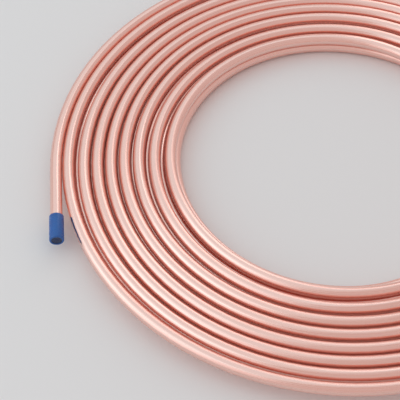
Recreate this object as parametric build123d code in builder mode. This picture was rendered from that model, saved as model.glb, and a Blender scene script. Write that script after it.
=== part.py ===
# A coil of soft copper tube, wound flat in two layers, with a plastic cap on each end.
# The coil lies on its lower layer. Z is its axis, and the floor is at Z = 0.
# The far side is +Y and the near side is -Y. Angles run from +X, anticlockwise seen from above.
# Every size is in millimetres.

import os
from math import sqrt

from build123d import *

# The tube
tube_diameter = 9.52
tube_wall = 0.8
tube_bore = tube_diameter - 2 * tube_wall

# The winding. The two layers wind opposite ways, so the tube runs in along the lower one and
# out along the upper one. A start is how far a layer's first crossing of the far or near side
# is from the axis. A gap is the air there between one turn and the next one out. The change gap
# is the air between the half turn that changes layer and the lower layer's first turn round it.
upper_far_start = 129.8
upper_far_gaps = (2.5, 4.3, 1.8, 0.5, 0.7, 1.2, 4.2, 0.2)
upper_near_start = 136.2
upper_near_gaps = (4.1, 2.2, 1.7, 2.1, 1.4, 1.4, 1.7)
lower_near_start = 128.4
lower_near_gaps = (0.3, 0.5, 1.6, 1.9, 1.8, 1.4, 1.6)
lower_far_start = 131.2
lower_far_gaps = (2.9, 3.4, 3.1, 1.2, 0.6, 1.0, 2.7)
layer_gap = 0.3
change_gap = 1.2
lower_height = tube_diameter / 2
upper_height = lower_height + tube_diameter + layer_gap

# The free ends. Each bends round outside the upper layer's last turn, and a tail gap is the air
# there. The lower one springs up a little, which keeps its cap off the floor.
upper_tail_gap = 0.14
upper_tail_turn = 94.8
upper_tail_length = 67.0
lower_tail_gap = 0.5
lower_tail_turn = 90.0
lower_tail_length = 27.0
lower_lift_radius = 500.0
lower_lift_turn = 4.5

# The caps, which are pushed on until the tube meets the closed end. A rim stands round the
# shallow dish in that end.
cap_wall = 0.9
cap_clearance = 0.08
cap_length = 23.0
cap_end = 1.3
cap_end_rounding = 0.9
cap_lip_rounding = 0.3
cap_rim = 1.3
cap_dish_depth = 0.5
cap_bore = tube_diameter + 2 * cap_clearance
cap_diameter = cap_bore + 2 * cap_wall


def crossings(start, gaps):
    """How far the tube is from the axis at each of its crossings of one side."""
    distances = [start]
    for gap in gaps:
        distances.append(distances[-1] + tube_diameter + gap)
    return distances


def alternate(first, second):
    """Takes the crossings of two sides in turn, as the tube meets them."""
    met = [distance for pair in zip(first, second) for distance in pair]
    return met + first[len(second):]


def wind_layer(distances, height, side, sense):
    """Half turns that grow outwards, each about its own centre. side is 1 to start at the far side."""
    with BuildLine(Plane.XY.offset(height)) as layer:
        for inner, outer in zip(distances, distances[1:]):
            CenterArc((0, side * (inner - outer) / 2), (inner + outer) / 2, 90 * side, sense * 180)
            side = -side
    return layer.edges()


def change_layer(start, end, reach):
    """Half a turn on the right, from the lower layer to the upper one, in a plane that slopes up to end.

    It reaches less far out than a half circle would: a flat quarter turn between two tighter eighths.
    """
    across = Vector(1, 0, 0)
    slope = Plane(origin=(start + end) / 2, x_dir=across, z_dir=across.cross((end - start).normalized()))
    half_span = (end - start).length / 2
    tight = (reach - (sqrt(2) - 1) * half_span) / (2 - sqrt(2))
    flat = reach + half_span - tight
    with BuildLine(slope) as change:
        CenterArc((0, tight - half_span), tight, -90, 45)
        CenterArc((reach - flat, 0), flat, -45, 90)
        CenterArc((0, half_span - tight), tight, 45, 45)
    return change.edges()


def upper_tail(start_distance, bend_radius):
    """The upper end leaves the coil on the left and runs straight towards the near side."""
    with BuildLine(Plane.XY.offset(upper_height)) as tail:
        bend = CenterArc((0, start_distance - bend_radius), bend_radius, 90, upper_tail_turn)
        Line(bend @ 1, bend @ 1 + bend % 1 * upper_tail_length)
    return tail.edges()


def lower_tail(start_distance, bend_radius):
    """The lower end leaves on the right and curves gently up off the floor."""
    with BuildLine(Plane.XY.offset(lower_height)) as tail:
        bend = CenterArc((0, start_distance - bend_radius), bend_radius, 90, -lower_tail_turn)
    lift_plane = Plane(origin=bend @ 1, x_dir=bend % 1, z_dir=(bend % 1).cross(Vector(0, 0, 1)))
    with BuildLine(lift_plane) as lift:
        rise = CenterArc((0, lower_lift_radius), lower_lift_radius, -90, lower_lift_turn)
        Line(rise @ 1, rise @ 1 + rise % 1 * lower_tail_length)
    return tail.edges() + lift.edges()


upper_far = crossings(upper_far_start, upper_far_gaps)
upper_near = crossings(upper_near_start, upper_near_gaps)
lower_near = crossings(lower_near_start, lower_near_gaps)
lower_far = crossings(lower_far_start, lower_far_gaps)
upper_distances = alternate(upper_far, upper_near)
lower_distances = alternate(lower_near, lower_far)
change_start = Vector(0, -lower_distances[0], lower_height)
change_end = Vector(0, upper_distances[0], upper_height)
first_right_turn = (lower_far[0] + lower_near[1]) / 2
change_reach = first_right_turn - tube_diameter - change_gap
last_left_turn = (upper_far[-2] + upper_near[-1]) / 2
last_right_turn = (upper_near[-1] + upper_far[-1]) / 2
upper_tail_radius = last_left_turn + tube_diameter + upper_tail_gap
lower_tail_radius = last_right_turn + (tube_diameter + cap_diameter) / 2 + lower_tail_gap
upper_end_edges = upper_tail(upper_distances[-1], upper_tail_radius)
lower_end_edges = lower_tail(lower_distances[-1], lower_tail_radius)
centre_line = Wire(
    lower_end_edges
    + wind_layer(lower_distances, lower_height, -1, -1)
    + change_layer(change_start, change_end, change_reach)
    + wind_layer(upper_distances, upper_height, 1, 1)
    + upper_end_edges
)
upper_mouth = Plane(origin=upper_end_edges[-1] @ 1, z_dir=upper_end_edges[-1] % 1)
lower_mouth = Plane(origin=lower_end_edges[-1] @ 1, z_dir=lower_end_edges[-1] % 1)

# One length of tube, from its upper end right through to its lower end, open all the way
with BuildPart() as copper_tube:
    with BuildSketch(upper_mouth):
        Circle(tube_diameter / 2)
    sweep(path=centre_line)
    with BuildSketch(upper_mouth):
        Circle(tube_bore / 2)
    sweep(path=centre_line, mode=Mode.SUBTRACT)


def end_cap(mouth):
    """A push-on cap with a rounded closed end. Its inside face meets the tube's end."""
    closed_end = mouth.offset(cap_end)
    with BuildPart() as cap:
        with BuildSketch(closed_end):
            Circle(cap_diameter / 2)
        extrude(amount=-cap_length)
        along = Axis(closed_end.origin, closed_end.z_dir)
        rims = cap.edges().sort_by(along)
        fillet(rims[-1], cap_end_rounding)
        with BuildSketch(closed_end):
            Circle(cap_diameter / 2 - cap_rim)
        extrude(amount=-cap_dish_depth, mode=Mode.SUBTRACT)
        with BuildSketch(mouth):
            Circle(cap_bore / 2)
        extrude(amount=cap_end - cap_length, mode=Mode.SUBTRACT)
        fillet(cap.faces().sort_by(along)[0].outer_wire().edges(), cap_lip_rounding)
    return cap


upper_cap = end_cap(upper_mouth)
lower_cap = end_cap(lower_mouth)

copper_tube.part.label = "copper_tube"
upper_cap.part.label = "upper_end_cap"
lower_cap.part.label = "lower_end_cap"

os.makedirs("parts", exist_ok=True)
export_step(copper_tube.part, "parts/copper_tube.step")
export_step(upper_cap.part, "parts/upper_end_cap.step")
export_step(lower_cap.part, "parts/lower_end_cap.step")

length = centre_line.length
section = copper_tube.part.volume / length
print(f"tube length {length:.0f} mm, volume over length {section:.3f} mm2")
print(f"smallest bend radius {min(e.radius for e in centre_line.edges().filter_by(GeomType.CIRCLE)):.1f} mm")
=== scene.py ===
"""Dresses a coil of soft copper tube: the drawn tube, its two push-on caps and a pale floor."""

import math

import bpy
from mathutils import Matrix, Vector


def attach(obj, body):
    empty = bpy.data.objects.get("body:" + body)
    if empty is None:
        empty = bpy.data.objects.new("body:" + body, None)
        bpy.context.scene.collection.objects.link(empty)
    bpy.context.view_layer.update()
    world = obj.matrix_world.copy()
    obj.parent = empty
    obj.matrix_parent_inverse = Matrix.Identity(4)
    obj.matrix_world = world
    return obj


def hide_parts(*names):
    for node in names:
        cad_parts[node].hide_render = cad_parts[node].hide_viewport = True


bl_info = {
    "name": "Copper Tube Coil",
    "version": (1, 0, 0),
    "blender": (4, 5, 0),
    "location": "View3D > Sidebar > Copper Coil",
    "description": "Winds a two-layer coil of copper tube, caps it and lays it on a pale floor",
    "category": "Add Mesh",
}

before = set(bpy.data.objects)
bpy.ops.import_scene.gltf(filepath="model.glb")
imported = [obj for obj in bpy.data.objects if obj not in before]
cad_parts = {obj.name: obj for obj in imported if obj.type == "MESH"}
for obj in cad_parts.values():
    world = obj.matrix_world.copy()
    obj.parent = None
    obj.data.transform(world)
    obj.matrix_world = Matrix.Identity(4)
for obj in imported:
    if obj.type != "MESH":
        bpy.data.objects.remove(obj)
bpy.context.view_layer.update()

MM = 0.001
BODY = "root"
UP = Vector((0, 0, 1))
RIGHT = Vector((1, 0, 0))
HALF_TURN = math.pi

# Points nearer than this are merged, where one stretch of tube meets the next.
MERGE_WITHIN = 0.02 * MM
# Points nearer than this to the tube's end, along the tube, are in its last ring.
LAST_RING_WITHIN = 0.5 * MM
# Faces that meet at less than this look like one smooth surface.
SMOOTH_WITHIN = math.radians(35)

# The floor lies a hair below the lowest turn, so no two surfaces share a place.
FLOOR_SIDE = 12
FLOOR_DROP = 0.2 * MM

# The soft boxes of light. Each has its azimuth and elevation in degrees, its width and height in
# metres, how bright it is, where 1 shows as white, and its colour. The boxes are slightly cool
# and the air is slightly warm, and together they light the floor as a neutral grey.
SOFTBOXES = {
    "left_low": (192, 23, 1.74, 3.0, 0.31, "#D2F8FF"),
    "left_high": (208, 29, 1.98, 1.11, 0.36, "#F5FAFF"),
    "far": (71, 5, 0.49, 2.86, 0.85, "#FFFFFF"),
    "top": (152, 59, 3.0, 1.98, 0.37, "#B5F2FF"),
}
SOFTBOX_DISTANCE = 1.5
AIR_COLOUR = "#FFEFEC"
AIR_STRENGTH = 0.66

# The photograph's viewpoint, found from the curves of the turns. Sensor and lens are in mm.
CAMERA_ELEVATION = math.radians(51.392)
CAMERA_ROLL = math.radians(0.409)
CAMERA_TARGET = Vector((-109.2 * MM, -49.02 * MM, 14.58 * MM))
CAMERA_DISTANCE = 1018.5 * MM
CAMERA_SENSOR = 36
CAMERA_LENS = 117.8


def linear(hex_colour):
    """An sRGB hex colour as the linear values that sockets take."""
    channels = [int(hex_colour[i : i + 2], 16) / 255 for i in (1, 3, 5)]
    bent = [c / 12.92 if c <= 0.04045 else ((c + 0.055) / 1.055) ** 2.4 for c in channels]
    return (*bent, 1.0)


def length_setting(name, description, mm):
    """A length that a user may change, given here in millimetres."""
    return bpy.props.FloatProperty(
        name=name, description=description, default=mm * MM, unit="LENGTH"
    )


def gap_settings(name, description, mm):
    """The air between each turn and the next one out, from the innermost turn, in millimetres."""
    default = [gap * MM for gap in mm]
    return bpy.props.FloatVectorProperty(
        name=name, description=description, size=len(default), default=default, unit="LENGTH"
    )


def angle_setting(name, description, degrees):
    """An angle that a user may change, given here in degrees."""
    return bpy.props.FloatProperty(
        name=name, description=description, default=math.radians(degrees), unit="ROTATION"
    )


def count_setting(name, description, count, least):
    """A count that a user may change."""
    return bpy.props.IntProperty(name=name, description=description, default=count, min=least)


def colour_setting(name, description, hex_colour):
    """A colour that a user may change, as an sRGB hex value."""
    return bpy.props.StringProperty(name=name, description=description, default=hex_colour)


class CoilSizes(bpy.types.PropertyGroup):
    """The winding. The far side is +Y and the near side is -Y.

    A start is how far a layer's first crossing of one side is from the axis.
    """

    tube_diameter: length_setting("Tube diameter", "Outside diameter of the tube", 9.52)
    tube_wall: length_setting("Tube wall", "Thickness of the tube's wall", 0.8)
    upper_far_start: length_setting("Upper far start", "Upper layer's first far crossing", 129.8)
    upper_far_gaps: gap_settings(
        "Upper far gaps", "Air, far side", (2.5, 4.3, 1.8, 0.5, 0.7, 1.2, 4.2, 0.2)
    )
    upper_near_start: length_setting("Upper near start", "Upper layer's first near crossing", 136.2)
    upper_near_gaps: gap_settings(
        "Upper near gaps", "Air, near side", (4.1, 2.2, 1.7, 2.1, 1.4, 1.4, 1.7)
    )
    lower_near_start: length_setting("Lower near start", "Lower layer's first near crossing", 128.4)
    lower_near_gaps: gap_settings(
        "Lower near gaps", "Air, near side", (0.3, 0.5, 1.6, 1.9, 1.8, 1.4, 1.6)
    )
    lower_far_start: length_setting("Lower far start", "Lower layer's first far crossing", 131.2)
    lower_far_gaps: gap_settings(
        "Lower far gaps", "Air, far side", (2.9, 3.4, 3.1, 1.2, 0.6, 1.0, 2.7)
    )
    layer_gap: length_setting("Layer gap", "Air between the two layers", 0.3)
    change_gap: length_setting(
        "Change gap", "Air between the layer change and the lower layer's first turn", 1.2
    )
    upper_tail_radius: length_setting(
        "Upper end radius", "Radius of the upper layer's last bend", 224.2
    )
    upper_tail_turn: angle_setting("Upper end turn", "Angle of the upper layer's last bend", 94.8)
    upper_tail_length: length_setting("Upper end length", "Straight run of the upper end", 67)
    lower_tail_radius: length_setting(
        "Lower end radius", "Radius of the lower layer's last bend", 230.4
    )
    lower_tail_turn: angle_setting("Lower end turn", "Angle of the lower layer's last bend", 90)
    lower_tail_length: length_setting("Lower end length", "Straight run of the lower end", 27)
    lower_lift_radius: length_setting(
        "Lower lift radius", "Radius of the bend that lifts the lower end", 500
    )
    lower_lift_turn: angle_setting("Lower lift turn", "Angle of that bend", 4.5)
    outside_sides: count_setting("Outside sides", "Points around the tube's outside", 32, 12)
    bore_sides: count_setting("Bore sides", "Points around the tube's bore", 12, 8)
    turn_steps: count_setting("Steps a turn", "Rings of points in one full turn", 108, 24)


class CapSizes(bpy.types.PropertyGroup):
    """The push-on caps."""

    wall: length_setting("Wall", "Thickness of the sleeve", 0.9)
    clearance: length_setting("Clearance", "Air between the sleeve and the tube", 0.08)
    depth: length_setting("Depth", "From the open end to the closed one", 23)
    end: length_setting("End", "Thickness of the closed end", 1.3)
    end_rounding: length_setting("End rounding", "Radius of the closed end's edge", 0.9)
    lip_rounding: length_setting("Lip rounding", "Radius of the open end's edge", 0.3)
    dish_radius: length_setting("Dish radius", "Radius of the closed end's shallow dish", 4.44)
    dish_depth: length_setting("Dish depth", "Depth of that dish", 0.5)
    gate_radius: length_setting("Gate radius", "Top of the moulding gate's stub in the dish", 0.8)
    gate_foot: length_setting("Gate foot", "Radius of that stub at its foot", 1.12)
    gate_height: length_setting("Gate height", "Height of that stub", 0.25)
    sides: count_setting("Sides", "Points around the cap", 64, 16)
    rounding_steps: count_setting("Rounding steps", "Faces across a rounded edge", 5, 2)


class CoilColours(bpy.types.PropertyGroup):
    """The colours of the finishes, as sRGB hex values."""

    copper: colour_setting("Copper", "Clean drawn copper", "#FAD3C9")
    copper_flush: colour_setting("Copper flush", "Slightly redder patches", "#F8CCC0")
    # Painted reflection: the matt colour a turn takes where it is seen in another turn.
    copper_painted_reflection: colour_setting("Copper bounced", "A turn seen in another one", "#EBA897")
    # Painted glow: the faint light a turn seen in another turn gives off.
    copper_painted_glow: colour_setting("Copper light", "What such a turn gives back", "#F4E6E0")
    cap: colour_setting("Cap", "Blue soft plastic", "#2264B0")
    cap_shade: colour_setting("Cap shade", "Deeper clouds in that plastic", "#1D4F94")
    # Painted shade: the darker blue in the dish of the closed end.
    cap_end_painted_shade: colour_setting("Cap end", "That plastic over the tube's bore", "#102650")
    floor: colour_setting("Floor", "Pale studio floor", "#E4E4E4")


def everything_deselected():
    """Leaves edit mode and deselects every object."""
    if bpy.context.mode != "OBJECT":
        bpy.ops.object.mode_set(mode="OBJECT")
    bpy.ops.object.select_all(action="DESELECT")


def crossings(start, gaps, tube_diameter):
    """How far the tube is from the axis at each of its crossings of one side."""
    distances = [start]
    for gap in gaps:
        distances.append(distances[-1] + tube_diameter + gap)
    return distances


def alternate(first, second):
    """Takes the crossings of two sides in turn, as the tube meets them."""
    met = [distance for pair in zip(first, second) for distance in pair]
    return met + first[len(second) :]


def side_plane(origin, along, outward):
    """A matrix at origin: X points out from the coil, Y across the tube, and Z against along."""
    across = outward.cross(along).normalized()
    turned = Matrix((outward, across, outward.cross(across))).transposed().to_4x4()
    return Matrix.Translation(origin) @ turned


def half_turns(distances, height, side):
    """The bends of one layer, in the order of its crossings. side is 1 to start at the far side."""
    bends = []
    for here, there in zip(distances, distances[1:]):
        bends.append(("bend", Vector((0, side * (here - there) / 2, height)), -UP, HALF_TURN))
        side = -side
    return bends


def layer_change(start, end, reach):
    """Three bends that make half a turn on the right, in a plane that slopes down to end.

    It reaches less far out than a half circle would: a flat quarter turn between two tight eighths.
    """
    slope = (end - start).normalized()
    axis = RIGHT.cross(slope)
    half_span = (end - start).length / 2
    tight = (reach - (math.sqrt(2) - 1) * half_span) / (2 - math.sqrt(2))
    flat = reach + half_span - tight
    middle = (start + end) / 2 + RIGHT * (reach - flat)
    return [
        ("bend", start + slope * tight, axis, HALF_TURN / 4),
        ("bend", middle, axis, HALF_TURN / 2),
        ("bend", end - slope * tight, axis, HALF_TURN / 4),
    ]


def coil_route(sizes):
    """Where the tube starts, and the runs and bends from its upper end to its lower one.

    A run is ("run", offset). A bend is ("bend", centre, axis, angle).
    """
    lower_height = sizes.tube_diameter / 2
    upper_height = lower_height + sizes.tube_diameter + sizes.layer_gap
    upper = alternate(
        crossings(sizes.upper_far_start, sizes.upper_far_gaps, sizes.tube_diameter),
        crossings(sizes.upper_near_start, sizes.upper_near_gaps, sizes.tube_diameter),
    )
    lower = alternate(
        crossings(sizes.lower_near_start, sizes.lower_near_gaps, sizes.tube_diameter),
        crossings(sizes.lower_far_start, sizes.lower_far_gaps, sizes.tube_diameter),
    )

    # The upper free end, which runs straight towards the near side
    centre = Vector((0, upper[-1] - sizes.upper_tail_radius, upper_height))
    corner = HALF_TURN / 2 + sizes.upper_tail_turn
    outward = Vector((math.cos(corner), math.sin(corner), 0))
    along = UP.cross(outward)
    start = centre + outward * sizes.upper_tail_radius + along * sizes.upper_tail_length
    route = [
        ("run", -along * sizes.upper_tail_length),
        ("bend", centre, -UP, sizes.upper_tail_turn),
    ]

    # In along the upper layer, down on the right, and out along the lower layer
    route += half_turns(upper[::-1], upper_height, 1)
    change_start = Vector((0, upper[0], upper_height))
    change_end = Vector((0, -lower[0], lower_height))
    first_right_turn = (lower[1] + lower[2]) / 2
    reach = first_right_turn - sizes.tube_diameter - sizes.change_gap
    route += layer_change(change_start, change_end, reach)
    route += half_turns(lower, lower_height, -1)

    # The lower free end, which springs up a little
    centre = Vector((0, lower[-1] - sizes.lower_tail_radius, lower_height))
    foot = centre + RIGHT * sizes.lower_tail_radius
    rise = Vector((0, -math.cos(sizes.lower_lift_turn), math.sin(sizes.lower_lift_turn)))
    route += [
        ("bend", centre, -UP, sizes.lower_tail_turn),
        ("bend", foot + UP * sizes.lower_lift_radius, -RIGHT, sizes.lower_lift_turn),
        ("run", rise * sizes.lower_tail_length),
    ]
    return side_plane(start, along, outward), route


def far_end(place, kind, *how):
    """The place at the far end of a run or a bend that starts at place."""
    if kind == "run":
        return Matrix.Translation(how[0]) @ place
    centre, axis, turn = how
    turned = Matrix.Rotation(turn, 4, axis) @ Matrix.Translation(-centre) @ place
    return Matrix.Translation(centre) @ turned


def tube_mouths(sizes):
    """The places of the tube's two open ends, each with Z pointing out of the tube."""
    start, route = coil_route(sizes)
    end = start
    for step in route:
        end = far_end(end, *step)
    return start @ Matrix.Rotation(HALF_TURN, 4, "X"), end


def tube_ring(place, sizes):
    """A ring of points for the tube's outside and one for its bore, in edit mode, all selected."""
    everything_deselected()
    at = {"location": place.translation, "rotation": place.to_euler()}
    outside_radius = sizes.tube_diameter / 2
    bore_radius = outside_radius - sizes.tube_wall
    bpy.ops.mesh.primitive_circle_add(vertices=sizes.outside_sides, radius=outside_radius, **at)
    made = bpy.context.object
    bpy.ops.object.transform_apply(location=True, rotation=True, scale=True)
    bpy.ops.object.mode_set(mode="EDIT")
    bpy.ops.mesh.primitive_circle_add(vertices=sizes.bore_sides, radius=bore_radius, **at)
    bpy.ops.mesh.select_all(action="SELECT")
    return made


def write_straightened(mesh, unbent):
    """Stores where each point would be in a straight tube. The drawn lines follow that."""
    attribute = mesh.attributes.new("straight_tube", "FLOAT_VECTOR", "POINT")
    for point, vertex in zip(attribute.data, mesh.vertices):
        point.vector = unbent(vertex.co)


def straight_run(place, so_far, sizes, offset):
    """A straight stretch of tube, and its length."""
    made = tube_ring(place, sizes)
    bpy.ops.mesh.extrude_region_move(TRANSFORM_OT_translate={"value": offset})
    bpy.ops.object.mode_set(mode="OBJECT")
    back, along = place.inverted(), offset.normalized()

    def unbent(point):
        gone = along.dot(point - place.translation)
        flat = back @ (point - along * gone)
        return flat.x, flat.y, so_far + gone

    write_straightened(made.data, unbent)
    return made, offset.length


def bend(place, so_far, sizes, centre, axis, turn):
    """A bent stretch of tube, and its length."""
    made = tube_ring(place, sizes)
    steps = max(2, round(sizes.turn_steps * turn / (2 * HALF_TURN)))
    # The spin tool turns the other way round its axis from a rotation matrix.
    bpy.ops.mesh.spin(steps=steps, angle=-turn, center=centre, axis=axis)
    bpy.ops.object.mode_set(mode="OBJECT")
    back, spoke = place.inverted(), place.translation - centre
    sideways = axis.cross(spoke).normalized()
    radius = spoke.length
    spoke = spoke.normalized()

    def unbent(point):
        arm = point - centre
        turned = math.atan2(sideways.dot(arm), spoke.dot(arm))
        # The far end of a half turn may come out as minus half a turn.
        turned += 2 * HALF_TURN if turned < -HALF_TURN / 2 else 0
        flat = back @ (centre + Matrix.Rotation(-turned, 3, axis) @ arm)
        return flat.x, flat.y, so_far + turned * radius

    write_straightened(made.data, unbent)
    return made, radius * turn


def close_end(stretch, at_length):
    """Joins the outside to the bore in a ring at one end, so the open end shows the tube's wall."""
    straight = stretch.data.attributes["straight_tube"].data
    at_end = [abs(point.vector.z - at_length) < LAST_RING_WITHIN for point in straight]
    for edge in stretch.data.edges:
        edge.select = all(at_end[v] for v in edge.vertices)
    for vertex in stretch.data.vertices:
        vertex.select = at_end[vertex.index]
    bpy.context.view_layer.objects.active = stretch
    bpy.ops.object.mode_set(mode="EDIT")
    bpy.ops.mesh.select_mode(type="EDGE")
    bpy.ops.mesh.bridge_edge_loops()
    bpy.ops.object.mode_set(mode="OBJECT")


def wind_tube(sizes):
    """The whole tube, from its upper end to its lower one, as stretches that are then joined."""
    place, route = coil_route(sizes)
    stretches, so_far = [], 0.0
    for kind, *how in route:
        shape = straight_run if kind == "run" else bend
        made, run_length = shape(place, so_far, sizes, *how)
        place = far_end(place, kind, *how)
        stretches.append(made)
        so_far += run_length
    close_end(stretches[0], 0.0)
    close_end(stretches[-1], so_far)
    everything_deselected()
    for stretch in stretches:
        stretch.select_set(True)
    tube = stretches[0]
    bpy.context.view_layer.objects.active = tube
    bpy.ops.object.join()
    tube.name = tube.data.name = "drawn_copper_tube"
    bpy.ops.object.mode_set(mode="EDIT")
    bpy.ops.mesh.select_mode(type="VERT")
    bpy.ops.mesh.select_all(action="SELECT")
    bpy.ops.mesh.remove_doubles(threshold=MERGE_WITHIN)
    bpy.ops.mesh.normals_make_consistent(inside=False)
    bpy.ops.object.mode_set(mode="OBJECT")
    return tube


def rounded_edge(radius, height, rounding, first, last, steps):
    """Points of a rounded edge about (radius, height), from first to last, in degrees."""
    turns = [math.radians(first + (last - first) * step / steps) for step in range(steps + 1)]
    return [
        (radius + rounding * math.cos(turn), height + rounding * math.sin(turn)) for turn in turns
    ]


def cap_profile(sizes, tube_diameter):
    """The cap's section as (radius, height): inside the closed end, over the lip, up to the dish.

    The tube's end is at height 0.
    """
    bore = tube_diameter / 2 + sizes.clearance
    outside = bore + sizes.wall
    lip = sizes.end - sizes.depth
    lip_middle = (outside - sizes.lip_rounding, lip + sizes.lip_rounding)
    shoulder = (outside - sizes.end_rounding, sizes.end - sizes.end_rounding)
    dish_floor = sizes.end - sizes.dish_depth
    dish_edge = (sizes.dish_radius, dish_floor)
    steps = sizes.rounding_steps
    profile = [(bore, 0.0), (bore, lip)]
    profile += rounded_edge(*lip_middle, sizes.lip_rounding, -90, 0, steps)
    profile += rounded_edge(*shoulder, sizes.end_rounding, 0, 90, steps)
    profile += rounded_edge(*dish_edge, sizes.dish_depth, 90, 180, steps)
    profile += [(sizes.gate_foot, dish_floor), (sizes.gate_radius, dish_floor + sizes.gate_height)]
    return profile


def mould_cap(name, mouth, sizes, tube_diameter):
    """One cap, drawn out ring by ring along its section, then set on the tube's end at mouth."""
    rings = cap_profile(sizes, tube_diameter)
    radius, height = rings[0]
    everything_deselected()
    bpy.ops.mesh.primitive_circle_add(vertices=sizes.sides, radius=radius, fill_type="TRIFAN")
    cap = bpy.context.object
    cap.name = cap.data.name = name
    bpy.ops.object.mode_set(mode="EDIT")
    bpy.ops.mesh.select_all(action="SELECT")
    bpy.ops.mesh.region_to_loop()
    for next_radius, next_height in rings[1:]:
        rise, grown = (0, 0, next_height - height), next_radius / radius
        bpy.ops.mesh.extrude_region_move(TRANSFORM_OT_translate={"value": rise})
        bpy.ops.transform.resize(value=(grown, grown, 1), center_override=(0, 0, next_height))
        radius, height = next_radius, next_height
    bpy.ops.mesh.edge_face_add()
    bpy.ops.mesh.select_all(action="SELECT")
    bpy.ops.mesh.normals_make_consistent(inside=False)
    bpy.ops.object.mode_set(mode="OBJECT")
    # The painted shade in the closed end's dish follows each point's place on the cap itself.
    attribute = cap.data.attributes.new("cap_place", "FLOAT_VECTOR", "POINT")
    for point, vertex in zip(attribute.data, cap.data.vertices):
        point.vector = vertex.co
    cap.matrix_world = mouth
    bpy.ops.object.transform_apply(location=True, rotation=True, scale=True)
    bpy.ops.object.shade_smooth_by_angle(angle=SMOOTH_WITHIN)
    return cap


def node(tree, kind, settings=None, **links):
    """Adds a node of this kind, with its own settings and its inputs.

    An input goes by its name, with _ for a space, or by i and its number where inputs share names.
    """
    made = tree.nodes.new(kind)
    for name, value in (settings or {}).items():
        setattr(made, name, value)
    for name, value in links.items():
        numbered = name[0] == "i" and name[1:].isdigit()
        socket = made.inputs[int(name[1:]) if numbered else name.replace("_", " ")]
        if isinstance(value, bpy.types.NodeSocket):
            tree.links.new(value, socket)
        else:
            socket.default_value = value
    return made


def blank_material(name):
    """A new material with only an output node. Returns it and its tree."""
    made = bpy.data.materials.new(name)
    made.use_nodes = True
    made.node_tree.nodes.clear()
    return made, made.node_tree


def drawn_copper(colours):
    """Soft copper tube, drawn and bright annealed: clean metal with faint lines along it, and a
    painted reflection and faint painted glow where one turn is seen in another.
    """
    made, tree = blank_material("drawn_copper")
    where = node(tree, "ShaderNodeAttribute", {"attribute_name": "straight_tube"})
    # The drawing die leaves lines along the tube. The real ones are tenths of a millimetre apart,
    # too fine to show, so these are 0.9 mm apart. They run on for about two decimetres. Some are
    # bright and some dull, which gives each highlight a sharp middle and a soft edge.
    line_spacing, line_stretch = 0.9 * MM, 250
    brightest, dullest = 0.15, 0.36
    lines_place = node(
        tree, "ShaderNodeMapping", Vector=where.outputs["Vector"], Scale=(1, 1, 1 / line_stretch)
    )
    lines = node(
        tree, "ShaderNodeTexNoise", Vector=lines_place.outputs["Vector"],
        Scale=1 / line_spacing, Detail=1.0, Roughness=0.5,
    )
    rough_lines = node(
        tree, "ShaderNodeMapRange", Value=lines.outputs["Fac"],
        From_Min=0.4, From_Max=0.6, To_Min=brightest, To_Max=dullest,
    )
    # Handling and annealing leave soft patches about a decimetre long.
    patch_width, patch_stretch = 12 * MM, 10
    patch_place = node(
        tree, "ShaderNodeMapping", Vector=where.outputs["Vector"], Scale=(1, 1, 1 / patch_stretch)
    )
    patches = node(
        tree, "ShaderNodeTexNoise", Vector=patch_place.outputs["Vector"],
        Scale=1 / patch_width, Detail=2.0, Roughness=0.5,
    )
    tint = node(
        tree, "ShaderNodeMix", {"data_type": "RGBA"}, Factor=patches.outputs["Fac"],
        i6=linear(colours.copper), i7=linear(colours.copper_flush),
    )
    # Light bounces between the turns many more times than a render follows it. So a turn that is
    # seen in another one is painted matt in a salmon copper colour, a painted reflection, and where
    # the gap is wide it glows faintly, a painted light in place of the bounces not followed.
    narrow_gap, wide_gap, most_light = 3.5 * MM, 7 * MM, 0.09
    path = node(tree, "ShaderNodeLightPath")
    bounced = node(
        tree, "ShaderNodeMath", {"operation": "GREATER_THAN"}, i0=path.outputs["Ray Depth"], i1=0.5
    )
    direct = node(
        tree, "ShaderNodeMath", {"operation": "SUBTRACT"}, i0=1.0, i1=bounced.outputs["Value"]
    )
    colour = node(
        tree, "ShaderNodeMix", {"data_type": "RGBA"}, Factor=bounced.outputs["Value"],
        i6=tint.outputs[2], i7=linear(colours.copper_painted_reflection),
    )
    # The faint glow is painted light, strongest where the gap between turns is wide.
    wide = node(
        tree, "ShaderNodeMapRange", Value=path.outputs["Ray Length"],
        From_Min=narrow_gap, From_Max=wide_gap, To_Min=0.0, To_Max=most_light,
    )
    painted_glow = node(
        tree, "ShaderNodeMath", {"operation": "MULTIPLY"},
        i0=wide.outputs["Result"], i1=bounced.outputs["Value"],
    )
    metal = node(
        tree, "ShaderNodeBsdfPrincipled", Base_Color=colour.outputs[2],
        Metallic=direct.outputs["Value"], Roughness=rough_lines.outputs["Result"],
        Emission_Color=linear(colours.copper_painted_glow), Emission_Strength=painted_glow.outputs["Value"],
    )
    # That light is too faint to be worth a lamp's share of the samples.
    made.cycles.emission_sampling = "NONE"
    node(tree, "ShaderNodeOutputMaterial", Surface=metal.outputs["BSDF"])
    return made


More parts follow.
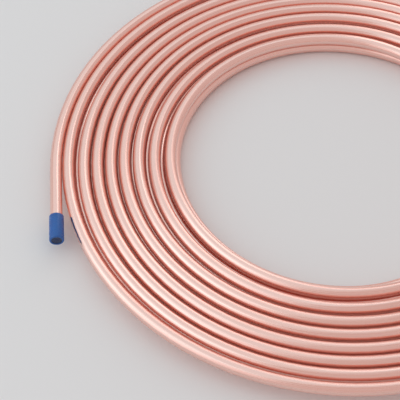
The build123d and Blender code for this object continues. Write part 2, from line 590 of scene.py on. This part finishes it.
def soft_blue_plastic(colours, dish_radius):
    """Polyethylene, injection moulded: satin, with faint clouds and a fine grain, and painted shade
    in the dish of its closed end.
    """
    made, tree = blank_material("soft_blue_plastic")
    where = node(tree, "ShaderNodeTexCoord")
    # The mould's grain is about 0.1 mm, too fine to show, so this one is 0.5 mm.
    grain_size, grain_height = 0.5 * MM, 0.1 * MM
    grain = node(
        tree, "ShaderNodeTexNoise", Vector=where.outputs["Object"],
        Scale=1 / grain_size, Detail=2.0, Roughness=0.5,
    )
    relief = node(
        tree, "ShaderNodeBump", Height=grain.outputs["Fac"], Strength=0.12, Distance=grain_height
    )
    # The plastic is slightly see-through and cools unevenly, which leaves clouds in it.
    cloud_size = 4.5 * MM
    cloud = node(
        tree, "ShaderNodeTexNoise", Vector=where.outputs["Object"],
        Scale=1 / cloud_size, Detail=2.0, Roughness=0.5,
    )
    tint = node(
        tree, "ShaderNodeMix", {"data_type": "RGBA"}, Factor=cloud.outputs["Fac"],
        i6=linear(colours.cap), i7=linear(colours.cap_shade),
    )
    rough = node(
        tree, "ShaderNodeMapRange", Value=cloud.outputs["Fac"],
        From_Min=0.3, From_Max=0.7, To_Min=0.22, To_Max=0.32,
    )
    # The closed end's dish is painted darker, a painted shade that fades in across the dish's rim.
    dark_edge, end_height = 0.6 * MM, 0.5 * MM
    place = node(tree, "ShaderNodeAttribute", {"attribute_name": "cap_place"})
    part = node(tree, "ShaderNodeSeparateXYZ", Vector=place.outputs["Vector"])
    flat = node(tree, "ShaderNodeCombineXYZ", X=part.outputs["X"], Y=part.outputs["Y"])
    radius = node(
        tree, "ShaderNodeVectorMath", {"operation": "LENGTH"}, i0=flat.outputs["Vector"]
    )
    inside_dish = node(
        tree, "ShaderNodeMapRange", Value=radius.outputs["Value"],
        From_Min=dish_radius, From_Max=dish_radius - dark_edge, To_Min=0.0, To_Max=1.0,
    )
    closed_end = node(
        tree, "ShaderNodeMath", {"operation": "GREATER_THAN"}, i0=part.outputs["Z"], i1=end_height
    )
    # Painted shade: the mask that darkens the closed end's dish.
    dish_painted_shade = node(
        tree, "ShaderNodeMath", {"operation": "MULTIPLY"},
        i0=inside_dish.outputs["Result"], i1=closed_end.outputs["Value"],
    )
    colour = node(
        tree, "ShaderNodeMix", {"data_type": "RGBA"}, Factor=dish_painted_shade.outputs["Value"],
        i6=tint.outputs[2], i7=linear(colours.cap_end_painted_shade),
    )
    skin = node(
        tree, "ShaderNodeBsdfPrincipled", Base_Color=colour.outputs[2],
        Roughness=rough.outputs["Result"], Normal=relief.outputs["Normal"],
    )
    node(tree, "ShaderNodeOutputMaterial", Surface=skin.outputs["BSDF"])
    return made


def pale_floor(colours):
    """A matt painted board."""
    made, tree = blank_material("pale_floor")
    paint = node(
        tree, "ShaderNodeBsdfPrincipled", Base_Color=linear(colours.floor), Roughness=0.7
    )
    node(tree, "ShaderNodeOutputMaterial", Surface=paint.outputs["BSDF"])
    return made


class COIL_OT_tube(bpy.types.Operator):
    """Winds the copper tube and gives it its drawn finish"""

    bl_idname = "coil.tube"
    bl_label = "Wind the Tube"

    def execute(self, context):
        tube = wind_tube(context.scene.coil_sizes)
        everything_deselected()
        tube.select_set(True)
        bpy.ops.object.shade_smooth_by_angle(angle=SMOOTH_WITHIN)
        tube.data.materials.append(drawn_copper(context.scene.coil_colours))
        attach(tube, BODY)
        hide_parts("copper_tube")
        return {"FINISHED"}


class COIL_OT_caps(bpy.types.Operator):
    """Moulds the two end caps and pushes them on"""

    bl_idname = "coil.caps"
    bl_label = "Fit the Caps"

    def execute(self, context):
        coil, sizes = context.scene.coil_sizes, context.scene.cap_sizes
        plastic = soft_blue_plastic(context.scene.coil_colours, sizes.dish_radius)
        for name, mouth in zip(("upper", "lower"), tube_mouths(coil)):
            cap = mould_cap(f"{name}_push_on_cap", mouth, sizes, coil.tube_diameter)
            cap.data.materials.append(plastic)
            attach(cap, BODY)
            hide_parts(f"{name}_end_cap")
        return {"FINISHED"}


class COIL_OT_stage(bpy.types.Operator):
    """Lays the floor and sets the lights and the camera"""

    bl_idname = "coil.stage"
    bl_label = "Set the Stage"

    def execute(self, context):
        everything_deselected()
        bpy.ops.mesh.primitive_plane_add(size=FLOOR_SIDE, location=(0, 0, -FLOOR_DROP))
        floor = context.object
        floor.name = "floor"
        floor.data.materials.append(pale_floor(context.scene.coil_colours))
        for name, settings in SOFTBOXES.items():
            hang_softbox(name, *settings)
        fill_air(context.scene)
        aim_camera(context.scene)
        return {"FINISHED"}


def hang_softbox(name, azimuth, elevation, width, height, glow, colour):
    """A rectangular soft light that faces the coil."""
    azimuth, elevation = math.radians(azimuth), math.radians(elevation)
    level = math.cos(elevation)
    direction = Vector((level * math.cos(azimuth), level * math.sin(azimuth), math.sin(elevation)))
    turned = direction.to_track_quat("Z", "Y").to_euler()
    bpy.ops.object.light_add(type="AREA", location=direction * SOFTBOX_DISTANCE, rotation=turned)
    lamp = bpy.context.object
    lamp.name = name
    lamp.data.shape = "RECTANGLE"
    lamp.data.size = width
    lamp.data.size_y = height
    # This power makes each point of the box as bright as glow.
    lamp.data.energy = glow * math.pi * width * height
    lamp.data.color = linear(colour)[:3]


def fill_air(scene):
    """The plain light that comes from all round."""
    world = bpy.data.worlds.new("studio_air")
    world.use_nodes = True
    air = world.node_tree.nodes["Background"].inputs
    air["Color"].default_value = linear(AIR_COLOUR)
    air["Strength"].default_value = AIR_STRENGTH
    scene.world = world


def aim_camera(scene):
    """The camera, which looks back at its target along its own Z."""
    back = Vector((0, -math.cos(CAMERA_ELEVATION), math.sin(CAMERA_ELEVATION)))
    up = Vector((0, math.sin(CAMERA_ELEVATION), math.cos(CAMERA_ELEVATION)))
    right = RIGHT * math.cos(CAMERA_ROLL) + up * math.sin(CAMERA_ROLL)
    level_up = up * math.cos(CAMERA_ROLL) - RIGHT * math.sin(CAMERA_ROLL)
    turned = Matrix((right, level_up, back)).transposed().to_4x4()
    camera = bpy.data.cameras.new("photo_camera")
    camera.sensor_width = CAMERA_SENSOR
    camera.lens = CAMERA_LENS
    made = bpy.data.objects.new("photo_camera", camera)
    scene.collection.objects.link(made)
    made.matrix_world = Matrix.Translation(CAMERA_TARGET + back * CAMERA_DISTANCE) @ turned
    scene.camera = made


class COIL_PT_panel(bpy.types.Panel):
    """Lists the steps that dress the coil"""

    bl_idname = "COIL_PT_panel"
    bl_label = "Copper Coil"
    bl_space_type = "VIEW_3D"
    bl_region_type = "UI"
    bl_category = "Copper Coil"

    def draw(self, context):
        for step in STEPS:
            self.layout.operator(step.bl_idname)


STEPS = (COIL_OT_tube, COIL_OT_caps, COIL_OT_stage)
GROUPS = {"coil_sizes": CoilSizes, "cap_sizes": CapSizes, "coil_colours": CoilColours}


def register():
    """Makes the sizes, colours and steps known to Blender."""
    for group in GROUPS.values():
        bpy.utils.register_class(group)
    for name, group in GROUPS.items():
        setattr(bpy.types.Scene, name, bpy.props.PointerProperty(type=group))
    for step in (*STEPS, COIL_PT_panel):
        bpy.utils.register_class(step)


def unregister():
    """Takes them out again."""
    for step in reversed((*STEPS, COIL_PT_panel)):
        bpy.utils.unregister_class(step)
    for name in GROUPS:
        delattr(bpy.types.Scene, name)
    for group in reversed(GROUPS.values()):
        bpy.utils.unregister_class(group)


def main():
    register()
    bpy.ops.coil.tube()
    bpy.ops.coil.caps()
    bpy.ops.coil.stage()
    bpy.context.scene.view_settings.view_transform = "Standard"


if __name__ == "__main__":
    main()
